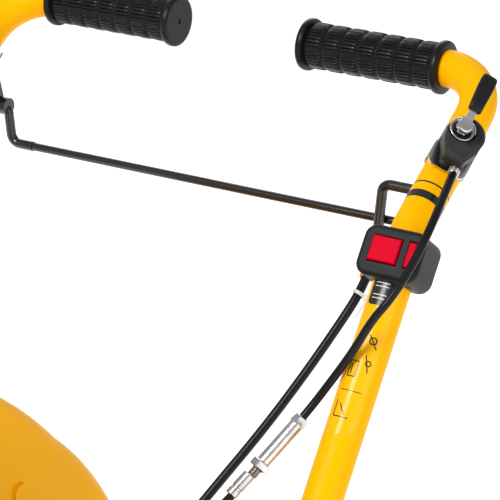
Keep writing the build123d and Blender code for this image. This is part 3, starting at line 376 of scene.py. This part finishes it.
def wire(name, points, radius, slot, body, *replaced):
    """A round wire or cable along a smooth line through the given control points."""
    curve = bpy.data.curves.new(name, "CURVE")
    curve.dimensions = "3D"
    spline = curve.splines.new("NURBS")
    spline.points.add(len(points) - 1)
    for target, place in zip(spline.points, points):
        target.co = (*place, 1)
    spline.order_u = 3
    spline.use_endpoint_u = True
    spline.resolution_u = 12
    curve.bevel_depth = radius
    curve.bevel_resolution = 5
    curve.use_fill_caps = True
    return place_piece(name, curve, slot, body, *replaced)


def bolt(name, place, direction, size, body):
    """A hexagon head on a washer; size is the width across the head's corners."""
    radius = size / 2
    washer_thickness = size * 0.12
    washer_profile = [(0, radius * 1.25), (washer_thickness, radius * 1.25)]
    washer = turned(name + "_washer", place, direction, washer_profile, 36)
    place_piece(name + "_washer", washer, "zinc_plate", body)
    head_profile = [(washer_thickness, radius), (size * 0.50, radius), (size * 0.58, radius * 0.82)]
    head = turned(name, place, direction, head_profile, 36, hexagon)
    place_piece(name, head, "zinc_plate", body)


# ---- grips ----
BLOCKS = 7
PADS = 6
RIDGES = 5
SMOOTH_STRIP = 0.24
GRIP_FLANGE = 0.0062
GRIP_FLANGE_R = 0.0180
GRIP_FLANGE_CROWN = 0.00225
GRIP_GROOVE_R = 0.0160
GRIP_BLOCK_RISE = 0.0006
GRIP_RIDGE_RISE = 0.00125
GRIP_BORE_R = 0.0016
GRIP_FACE_R = 0.0172
GRIP_MOUTH_R = 0.0143
GRIP_STEPS = 150
GRIP_AROUND = 400


def grip_radius(reach, angle, length):
    """The grip's radius at a distance from its inner end: flanges, barrelled blocks and ridges."""
    if reach < GRIP_FLANGE or reach > length - GRIP_FLANGE:
        near = min(reach, length - reach) / GRIP_FLANGE
        bulge = math.sqrt(max(0.0, 1 - (2 * near - 1) ** 2)) ** 0.6
        return GRIP_FLANGE_R + GRIP_FLANGE_CROWN * bulge
    pitch = (length - 2 * GRIP_FLANGE) / BLOCKS
    share = ((reach - GRIP_FLANGE) % pitch) / pitch
    crown = 1 - abs(2 * share - 1) ** 5
    pad = (angle / (2 * math.pi) * PADS) % 1.0
    ridge = 0.75
    if pad > SMOOTH_STRIP:
        across = (pad - SMOOTH_STRIP) / (1 - SMOOTH_STRIP)
        ridge = min(1.0, 1.5 * abs(math.sin(math.pi * across * RIDGES)))
    return GRIP_GROOVE_R + crown * (GRIP_BLOCK_RISE + GRIP_RIDGE_RISE * ridge)


def make_grip(node, sign):
    """A rubber grip. sign is 1 for the left one and -1 for the right one."""
    low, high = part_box(node)
    length = high.x - low.x
    inner = Vector((low.x if sign > 0 else high.x, GRIP_Y, GRIP_Z))
    profile = [(0.0009, GRIP_BORE_R), (0.0, GRIP_BORE_R + 0.0006), (0.0, GRIP_FACE_R)]
    profile += [(length * step / GRIP_STEPS, None) for step in range(GRIP_STEPS + 1)]
    profile += [(length, GRIP_MOUTH_R)]

    def radius_at(index, angle, radius):
        if radius is not None:
            return radius
        return grip_radius(profile[index][0], angle, length)

    mesh = turned("grip", inner, (sign, 0, 0), profile, GRIP_AROUND, radius_at)
    place_piece("rubber_" + node, mesh, "grip_rubber", "root", node)


# ---- tyres ----
TYRE_SECTIONS = 72
TYRE_WRAP = math.radians(158)
TYRE_STEPS_PER_LUG = 10
SIDEWALL_RING = 0.0008
SIDEWALL_RING_RATE = 900
LUG_SLANT = 1.1
CENTRE_GROOVE = 0.07


def tyre_profile(half, middle, rise):
    """The rounded section of a tyre from bead to bead, as (distance across, radius)."""
    profile = []
    for step in range(TYRE_SECTIONS + 1):
        turn = -TYRE_WRAP + 2 * TYRE_WRAP * step / TYRE_SECTIONS
        sine, cosine = math.sin(turn), math.cos(turn)
        x = half * math.copysign(abs(sine) ** 0.62, sine)
        profile.append((x, middle + rise * math.copysign(abs(cosine) ** 0.55, cosine)))
    return profile


def make_tyre(node, body, lugs, tread_share, groove, bead_share):
    """A tyre with slanted lugs over the middle tread_share of its width and rings on its walls."""
    low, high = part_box(node)
    centre = (low + high) / 2
    radius = (high.z - low.z) / 2
    half = (high.x - low.x) / 2
    bead = radius * bead_share
    middle = (radius + bead) / 2
    rise = (radius - bead) / 2
    profile = tyre_profile(half, middle, rise)

    def radius_at(index, angle, r):
        x = profile[index][0]
        share = abs(x) / half
        if r < middle + rise * 0.45:
            return r + SIDEWALL_RING * (math.sin((r - bead) * SIDEWALL_RING_RATE) > 0.75)
        if share > tread_share:
            return r - groove * 0.15
        if share <= CENTRE_GROOVE:
            return r - groove
        phase = angle / (2 * math.pi) * lugs + share * LUG_SLANT * (1 if x > 0 else -1)
        phase += 0.5 if x > 0 else 0
        lug = min(1.0, max(0.0, (math.sin(2 * math.pi * phase) + 0.35) * 3.2))
        return r - groove * (1 - lug)

    mesh = turned("tyre", centre, (1, 0, 0), profile, lugs * TYRE_STEPS_PER_LUG, radius_at, ring=True)
    place_piece("tread_" + node, mesh, "tyre_rubber", body, node)


# ---- handle details ----
def tube_station(s):
    """The left tube's axis and its outward normal, s metres below the knee."""
    knee_drop = KNEE_FORWARD * math.tan(UPPER_SLOPE)
    tangent = KNEE_BEND * math.tan((LOWER_SLOPE - UPPER_SLOPE) / 2)
    arc = KNEE_BEND * (LOWER_SLOPE - UPPER_SLOPE)
    forward, drop = KNEE_FORWARD, knee_drop
    if s <= -arc / 2:
        slope = UPPER_SLOPE
        run = s + arc / 2 - tangent
        forward += run * math.cos(slope)
        drop += run * math.sin(slope)
    elif s >= arc / 2:
        slope = LOWER_SLOPE
        run = s - arc / 2 + tangent
        forward += run * math.cos(slope)
        drop += run * math.sin(slope)
    else:
        slope = UPPER_SLOPE + (s + arc / 2) / KNEE_BEND
        forward -= tangent * math.cos(UPPER_SLOPE)
        drop -= tangent * math.sin(UPPER_SLOPE)
        forward += KNEE_BEND * (math.sin(slope) - math.sin(UPPER_SLOPE))
        drop += KNEE_BEND * (math.cos(UPPER_SLOPE) - math.cos(slope))
    place = Vector((TUBE_X, GRIP_Y - forward, GRIP_Z - drop))
    normal = Vector((0, -math.sin(slope), math.cos(slope)))
    return place, normal


def tube_point(s, across, lift):
    """A point lift metres off the left tube's skin: across is metres round it from the top, leftward."""
    place, normal = tube_station(s)
    angle = across / TUBE_R
    outward = normal * math.cos(angle) + Vector((1, 0, 0)) * math.sin(angle)
    return place + outward * (TUBE_R + lift)


def tube_patch(name, s_range, across_range, material, lift=0.00012, rounding=0.0):
    """A thin film on the left tube, with its corners rounded off by the given radius."""
    s0, s1 = s_range
    a0, a1 = across_range
    rows = 24
    columns = 24
    verts = []
    for i in range(rows + 1):
        s = s0 + (s1 - s0) * i / rows
        trim = 0.0
        edge = min(s - s0, s1 - s)
        if rounding and edge < rounding:
            trim = rounding - math.sqrt(max(0.0, rounding ** 2 - (rounding - edge) ** 2))
        for j in range(columns + 1):
            across = (a0 + trim) + (a1 - a0 - 2 * trim) * j / columns
            verts.append(tube_point(s, across, lift))
    faces = []
    for i in range(rows):
        for j in range(columns):
            first = i * (columns + 1) + j
            faces.append((first, first + 1, first + columns + 2, first + columns + 1))
    mesh = mesh_from(name, verts, faces)
    place_piece(name, mesh, "yellow_paint", "root", material=material)


def tube_line(name, strokes, width, material="decal_black"):
    """Pen strokes on the left tube: each is a list of (s, across) corners."""
    lift = 0.00022
    pieces = 8
    verts = []
    faces = []
    for stroke in strokes:
        for (s0, a0), (s1, a1) in zip(stroke, stroke[1:]):
            length = math.hypot(s1 - s0, a1 - a0)
            ds, da = (s1 - s0) / length, (a1 - a0) / length
            base = len(verts)
            for step in range(pieces + 1):
                share = -width / 2 / length + (1 + width / length) * step / pieces
                s = s0 + (s1 - s0) * share
                a = a0 + (a1 - a0) * share
                for sign in (-1, 1):
                    side = sign * width / 2
                    verts.append(tube_point(s - da * side, a + ds * side, lift))
            for step in range(pieces):
                k = base + 2 * step
                faces.append((k, k + 1, k + 3, k + 2))
    mesh = mesh_from(name, verts, faces)
    place_piece(name, mesh, "yellow_paint", "root", material=material)


def ring_of(s, across, radius, steps=14):
    """A round stroke for tube_line."""
    turns = [2 * math.pi * k / steps for k in range(steps + 1)]
    return [(s + radius * math.cos(turn), across + radius * math.sin(turn)) for turn in turns]


def make_label():
    """The black label below the switch, with plain bars where its text would be."""
    tube_patch("decal_label", (0.0395, 0.0590), (-0.0085, 0.0085), "decal_black", 0.00016, rounding=0.003)
    bars = [[(s, -0.0052), (s, 0.0048)] for s in (0.0428, 0.0454, 0.0515, 0.0541)]
    tube_line("decal_label_bars", bars, 0.0006, "decal_white")


def make_symbols():
    """Plain marks on the tube's film, each in its own stretch along the tube."""
    signs = [
        [(0.1000, -0.0050), (0.1000, 0.0010), (0.1110, 0.0010), (0.1110, -0.0050), (0.1000, -0.0050)],
        [(0.1020, -0.0030), (0.1090, -0.0030)],
        [(0.0950, 0.0045), (0.1060, 0.0085)],
        ring_of(0.1000, 0.0075, 0.0018),
        [(0.1290, -0.0060), (0.1400, -0.0060), (0.1400, 0.0050)],
        [(0.1310, -0.0030), (0.1380, 0.0020)],
        ring_of(0.0840, 0.0060, 0.0024),
        [(0.0800, 0.0025), (0.0890, 0.0095)],
    ]
    tube_line("decal_symbols", signs, 0.0008)


def make_decals():
    """Ranges are metres along the tube from its knee, then metres round it from the top."""
    half_round = math.pi * TUBE_R
    tube_patch("decal_ring", (-0.0354, -0.0341), (-half_round, half_round), "decal_black")
    tube_patch("decal_band", (-0.0272, -0.0208), (-half_round, half_round), "decal_black")
    tube_patch("decal_film", (0.0430, 0.1520), (-0.0125, 0.0135), "decal_clear", 0.00008, rounding=0.004)
    make_label()
    tube_line("decal_divider", [[(0.1210, -0.0060), (0.1210, 0.0090)]], 0.0006)
    make_symbols()


# ---- throttle lever ----
PADDLE_SECTIONS = [(16.2, 4.3, 2.4), (17.0, 5.0, 3.2), (24, 5.3, 3.4), (31, 5.7, 3.5), (38, 5.9, 3.4),
                   (43.5, 5.9, 3.2), (46.6, 5.6, 2.8), (48.0, 4.8, 1.7)]
PADDLE_AROUND = 40
SHANK_OUTLINE = [(-3.0, -6), (3.0, -6), (3.2, 5), (2.9, 22), (-2.0, 22), (-3.2, 5)]
SHANK_BOTTOM = 0.15
SHANK_TOP = 1.85
SPRING_TURNS = 2.2
SPRING_STEPS = 30


def throttle_frame():
    """The lever's pivot, and the directions across it, along it and out of its face."""
    joint = JOINTS["throttle_turn"]
    normal = Vector(joint["axis"]).normalized()
    up = Vector((0, math.cos(UPPER_SLOPE), math.sin(UPPER_SLOPE)))
    across = up.cross(normal).normalized()
    return Vector(joint["pos_m"]), across, up, normal


def throttle_point(x, y, z):
    """A place in millimetres across, along and out from the lever's pivot."""
    pivot, across, up, normal = throttle_frame()
    return pivot + (across * x + up * y + normal * z) / 1000


def make_throttle_shank():
    verts = [throttle_point(x, y, z) for z in (SHANK_BOTTOM, SHANK_TOP) for x, y in SHANK_OUTLINE]
    count = len(SHANK_OUTLINE)
    faces = [tuple(range(count)), tuple(range(count, 2 * count))]
    faces += [(i, (i + 1) % count, count + (i + 1) % count, count + i) for i in range(count)]
    shank = place_piece("throttle_shank", mesh_from("shank", verts, faces), "zinc_plate", "throttle",
                        "throttle_lever")
    bevel = shank.modifiers.new("edges", "BEVEL")
    bevel.width = 0.0004
    bevel.segments = 2


def make_throttle_paddle():
    """The moulded finger pad: each section is (distance from the pivot, half width, half thickness)."""
    first = PADDLE_SECTIONS[1][0]
    verts = []
    for y, half, thick in PADDLE_SECTIONS:
        middle = 0.6 - (y - first) * 0.045
        for step in range(PADDLE_AROUND):
            angle = 2 * math.pi * step / PADDLE_AROUND
            c, s = math.cos(angle), math.sin(angle)
            x = half * math.copysign(abs(c) ** 0.45, c) + middle
            z = thick * math.copysign(abs(s) ** 0.55, s) + 1.5
            verts.append(throttle_point(x, y, z))
    last = (len(PADDLE_SECTIONS) - 1) * PADDLE_AROUND
    faces = [tuple(range(PADDLE_AROUND)), tuple(last + k for k in range(PADDLE_AROUND))]
    for row in range(len(PADDLE_SECTIONS) - 1):
        for step in range(PADDLE_AROUND):
            here = row * PADDLE_AROUND
            above = here + PADDLE_AROUND
            after = (step + 1) % PADDLE_AROUND
            faces.append((here + step, here + after, above + after, above + step))
    paddle = mesh_from("paddle", verts, faces, angle=50)
    place_piece("throttle_paddle", paddle, "black_plastic", "throttle")


def make_throttle_spring():
    spiral = []
    for step in range(SPRING_STEPS + 1):
        share = step / SPRING_STEPS
        angle = 2 * math.pi * SPRING_TURNS * share
        radius = 9.4 - 1.6 * share
        spiral.append(throttle_point(radius * math.cos(angle), radius * math.sin(angle), -0.9 - 2.4 * share))
    wire("throttle_spring", spiral, 0.0007, "zinc_plate", "root")


def make_throttle():
    pivot, across, up, normal = throttle_frame()
    make_throttle_shank()
    make_throttle_paddle()
    make_throttle_spring()
    dome = [(0, 0.0050), (0.0004, 0.0050), (0.0014, 0.0046), (0.0023, 0.0036), (0.0029, 0.0022),
            (0.0031, 0.0004)]
    cap = turned("cap", throttle_point(0, 0, 2.1), normal, dome, 40)
    place_piece("throttle_pivot_cap", cap, "zinc_plate", "root")
    sleeve = [(-0.0008, 0.0042), (0.0065, 0.0042), (0.0075, 0.0034)]
    ferrule = turned("ferrule", throttle_point(9.7, -21.0, -16.0), -up, sleeve, 32)
    place_piece("throttle_cable_ferrule", ferrule, "zinc_plate", "root")


# ---- cables and wires ----
# Control points as the CAD has them: x, forward of the grips, height, in millimetres.
THROTTLE_ROUTE = [(235, 96.5, 959.5), (239.3, 116.9, 952.6), (245.8, 152.2, 935.9),
                  (243, 174.5, 913.6), (238, 192.7, 897), (228, 199, 882.4), (216, 201.7, 858.3),
                  (203, 208.5, 835.3), (189, 221, 810), (169.5, 259, 775), (158, 284, 757),
                  (150, 325, 741), (146, 372, 732), (142, 420, 726), (138, 466, 720),
                  (134, 506, 706), (131, 536, 681), (130, 551, 643)]
DRIVE_ROUTE = [(165.6, 88.3, 870.2), (168, 103.3, 858.7), (159, 126, 832.5), (146, 154.2, 799.8),
               (131, 184.5, 766.5), (113, 215.8, 732.8), (92, 247, 694), (70, 277, 650), (50, 304, 602),
               (37, 324, 556), (30, 338, 512)]


def make_cables():
    wire("throttle_cable_jacket", [at(*p) for p in THROTTLE_ROUTE], CABLE_R, "cable_jacket", "root",
         "throttle_cable")
    wire("drive_cable_jacket", [at(*p) for p in DRIVE_ROUTE], DRIVE_CABLE_R, "cable_jacket", "root",
         "drive_cable")


ADJUSTER_TOP, ADJUSTER_FOOT, ADJUSTER_NEXT = THROTTLE_ROUTE[8:11]
BARREL_START = 0.0078
BARREL_LENGTH = 0.0352
BARREL_R = 0.0053
BARREL_STEPS = 25
SLOT_HALF = math.radians(17)
SLOT_TURN = math.radians(250)
SLOT_FLOOR_R = 0.0036
THREAD_START = 0.0492
THREAD_STEP = 0.00035
THREAD_STEPS = 19
THREAD_CREST_R = 0.0040
THREAD_ROOT_R = 0.0034


def slotted(index, angle, radius):
    """The barrel's radius: a slot runs along one side of it, short of both ends."""
    from_slot = abs((angle - SLOT_TURN + math.pi) % (2 * math.pi) - math.pi)
    return SLOT_FLOOR_R if from_slot < SLOT_HALF and 1 < index < BARREL_STEPS - 1 else radius


def make_adjuster():
    """The inline cable adjuster: hexagon ends on a slotted barrel, then a threaded neck and a ferrule."""
    top = at(*ADJUSTER_TOP)
    foot = at(*ADJUSTER_FOOT)
    along = (foot - top).normalized()
    onward = (at(*ADJUSTER_NEXT) - foot).normalized().lerp(along, 0.6)
    cone = [(0, 0.0040), (0.0012, 0.0056), (0.0062, 0.0062), (0.0078, 0.0053)]
    barrel = [(BARREL_START + BARREL_LENGTH * k / BARREL_STEPS, BARREL_R) for k in range(BARREL_STEPS + 1)]
    nut = [(0, 0.0066), (0.0008, 0.0075), (0.0052, 0.0075), (0.0060, 0.0066)]
    thread = [(THREAD_START + THREAD_STEP * k, THREAD_CREST_R if k % 2 else THREAD_ROOT_R)
              for k in range(THREAD_STEPS)]
    ferrule = [(0.0556, 0.0042), (0.0562, 0.0048), (0.0680, 0.0048), (0.0683, 0.0043), (0.0700, 0.0043),
               (0.0703, 0.0048), (0.0745, 0.0048), (0.0750, 0.0040)]
    cone_mesh = turned("cone", top + along * 0.0015, along, cone, 48, hexagon)
    place_piece("adjuster_cone", cone_mesh, "zinc_plate", "root", "cable_adjuster")
    for name, start, direction, profile, around, radius_at in (
            ("adjuster_barrel", top, along, barrel, 96, slotted),
            ("adjuster_nut", top + along * 0.0432, along, nut, 48, hexagon),
            ("adjuster_thread", top, along, thread, 40, None),
            ("adjuster_ferrule", top, onward, ferrule, 40, None)):
        mesh = turned(name, start, direction, profile, around, radius_at)
        place_piece(name, mesh, "zinc_plate", "root")


COIL_STEPS_PER_TURN = 12
COIL_LEAD = 0.12


def coil_points(start, end, radius, turns):
    """Spline points of a tension spring between two places, with straight hooks at both ends."""
    along, across, other = basis(end - start)
    length = (end - start).length
    hook = along * length * COIL_LEAD * 0.6
    points = [start, start + hook]
    total = turns * COIL_STEPS_PER_TURN
    for step in range(total + 1):
        share = COIL_LEAD + (1 - 2 * COIL_LEAD) * step / total
        angle = 2 * math.pi * step / COIL_STEPS_PER_TURN
        outward = across * math.cos(angle) + other * math.sin(angle)
        points.append(start + along * length * share + outward * radius)
    points += [end - hook, end]
    return points


def curve_to_mesh(piece):
    """A curve piece as a mesh, with its material and slot."""
    shown = piece.evaluated_get(bpy.context.evaluated_depsgraph_get())
    mesh = bpy.data.meshes.new_from_object(shown)
    name = piece.name
    world = piece.matrix_world.copy()
    slot_name = piece.get("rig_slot")
    bpy.data.objects.remove(piece)
    made = bpy.data.objects.new(name, mesh)
    made.matrix_world = world
    bpy.context.scene.collection.objects.link(made)
    if slot_name:
        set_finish(made, slot_name)
    return made


CRANK_EYE = (164, 78, 878)
IDLER_HOOK_DROP = 28
SHELF_DROP = 6


def make_inner_wires():
    """The drive cable's bare wire from the bail to the upper stop, and its spring down to the idler."""
    eye = at(*CRANK_EYE)
    stop = at(*DRIVE_ROUTE[0])
    upper = wire("drive_wire_upper", [eye, eye.lerp(stop, 0.35), eye.lerp(stop, 0.7), stop], 0.0008,
                 "zinc_plate", "root")
    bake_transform(curve_to_mesh(upper))
    x, forward, height = DRIVE_ROUTE[-1]
    shelf = at(x, forward, height - SHELF_DROP)
    hook = at(x, forward, height - SHELF_DROP - IDLER_HOOK_DROP)
    lower = wire("drive_wire_spring", coil_points(shelf, hook, 0.0030, 5), 0.0007, "zinc_plate", "root")
    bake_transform(curve_to_mesh(lower))


BAIL_SPRING_TURNS = 6
BAIL_SPRING_R = 0.0063
BAIL_SPRING_WIRE_R = 0.0010
BAIL_SPRING_LENGTH = 0.0112
BAIL_SPRING_INSET = 0.0012


def make_bail_spring():
    """The torsion spring round the bail's pivot, with one leg out to the handle tube."""
    low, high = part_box("bail_spring")
    joint = Vector(JOINTS["bail_pull"]["pos_m"])
    centre = Vector((0, joint.y, joint.z))
    end_x = high.x - BAIL_SPRING_INSET
    start_x = end_x - BAIL_SPRING_LENGTH
    leg_end = Vector((low.x + BAIL_SPRING_INSET, GRIP_Y - 0.038, GRIP_Z - 0.040))
    points = [leg_end, leg_end.lerp(centre + Vector((start_x, 0.0, BAIL_SPRING_R)), 0.6)]
    total = BAIL_SPRING_TURNS * COIL_STEPS_PER_TURN
    for step in range(total + 1):
        angle = 2 * math.pi * step / COIL_STEPS_PER_TURN
        x = start_x + BAIL_SPRING_LENGTH * step / total
        points.append(centre + Vector((x, BAIL_SPRING_R * math.cos(angle), BAIL_SPRING_R * math.sin(angle))))
    wire("bail_spring_coil", points, BAIL_SPRING_WIRE_R, "zinc_plate", "root", "bail_spring")


# ---- machine details ----
VOLUTE_CENTRE = (461, 512)
VOLUTE_RIM_R = 323
FLANGE_SCREW_OUT = 7
FLANGE_SCREWS = 7
FLANGE_ARC = (150, 262)
WHEEL_BOLTS = 5
WHEEL_BOLT_CIRCLE_R = 0.036
VALVE_R = 0.083


def assign_cad_materials():
    for row in frame["record"]["subparts"]:
        node = NODES[row["node"]]
        node.data.materials.clear()
        node.data.materials.append(MATERIALS[row["material_slot"]])


def make_volute_bolts():
    """Flange screws along the cover's rim, on the rear arc where the rim is round."""
    low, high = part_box("volute_cover")
    forward, height = VOLUTE_CENTRE
    start, end = FLANGE_ARC
    reach = VOLUTE_RIM_R + FLANGE_SCREW_OUT
    for k in range(FLANGE_SCREWS):
        angle = math.radians(start + (end - start) * k / (FLANGE_SCREWS - 1))
        place = at(low.x * 1000, forward + reach * math.cos(angle), height + reach * math.sin(angle))
        bolt(f"cover_bolt_0_{k}", place, (-1, 0, 0), 0.010, "root")


def make_wheel_details():
    """Hub bolts and a tyre valve on the outer face of each rear wheel."""
    stem_profile = [(0, 0.0042), (0.010, 0.0036), (0.012, 0.0028), (0.020, 0.0026), (0.0205, 0.0032),
                    (0.027, 0.0032), (0.0275, 0.0024)]
    for side_name, sign in (("left", 1), ("right", -1)):
        low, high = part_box("rear_rim_" + side_name)
        centre = (low + high) / 2
        outer = high.x if sign > 0 else low.x
        for k in range(WHEEL_BOLTS):
            angle = 2 * math.pi * (k + 0.5) / WHEEL_BOLTS
            spoke = Vector((sign * 0.004, WHEEL_BOLT_CIRCLE_R * math.cos(angle),
                            WHEEL_BOLT_CIRCLE_R * math.sin(angle)))
            bolt(f"wheel_bolt_{side_name}_{k}", centre + spoke, (sign, 0, 0), 0.012, "rear_wheels")
        foot = Vector((outer - sign * 0.022, centre.y, centre.z + VALVE_R))
        stem = turned("stem", foot, (sign, 0, 0.15), stem_profile, 24)
        place_piece("valve_stem_" + side_name, stem, "grip_rubber", "rear_wheels")


MATERIALS = {}
RECORD_SLOTS = [row["slot"] for row in frame["record"]["materials"]]

make_camera()
MATERIALS.update(make_materials())
make_studio()
assign_cad_materials()
make_grip("grip_left", 1)
make_grip("grip_right", -1)
make_tyre("rear_tyre_left", "rear_wheels", 34, 0.80, 0.0045, 0.615)
make_tyre("rear_tyre_right", "rear_wheels", 34, 0.80, 0.0045, 0.615)
make_tyre("caster_tyre", "caster_wheel", 26, 0.70, 0.0025, 0.66)
make_decals()
make_throttle()
make_cables()
make_adjuster()
make_inner_wires()
make_bail_spring()
make_volute_bolts()
make_wheel_details()
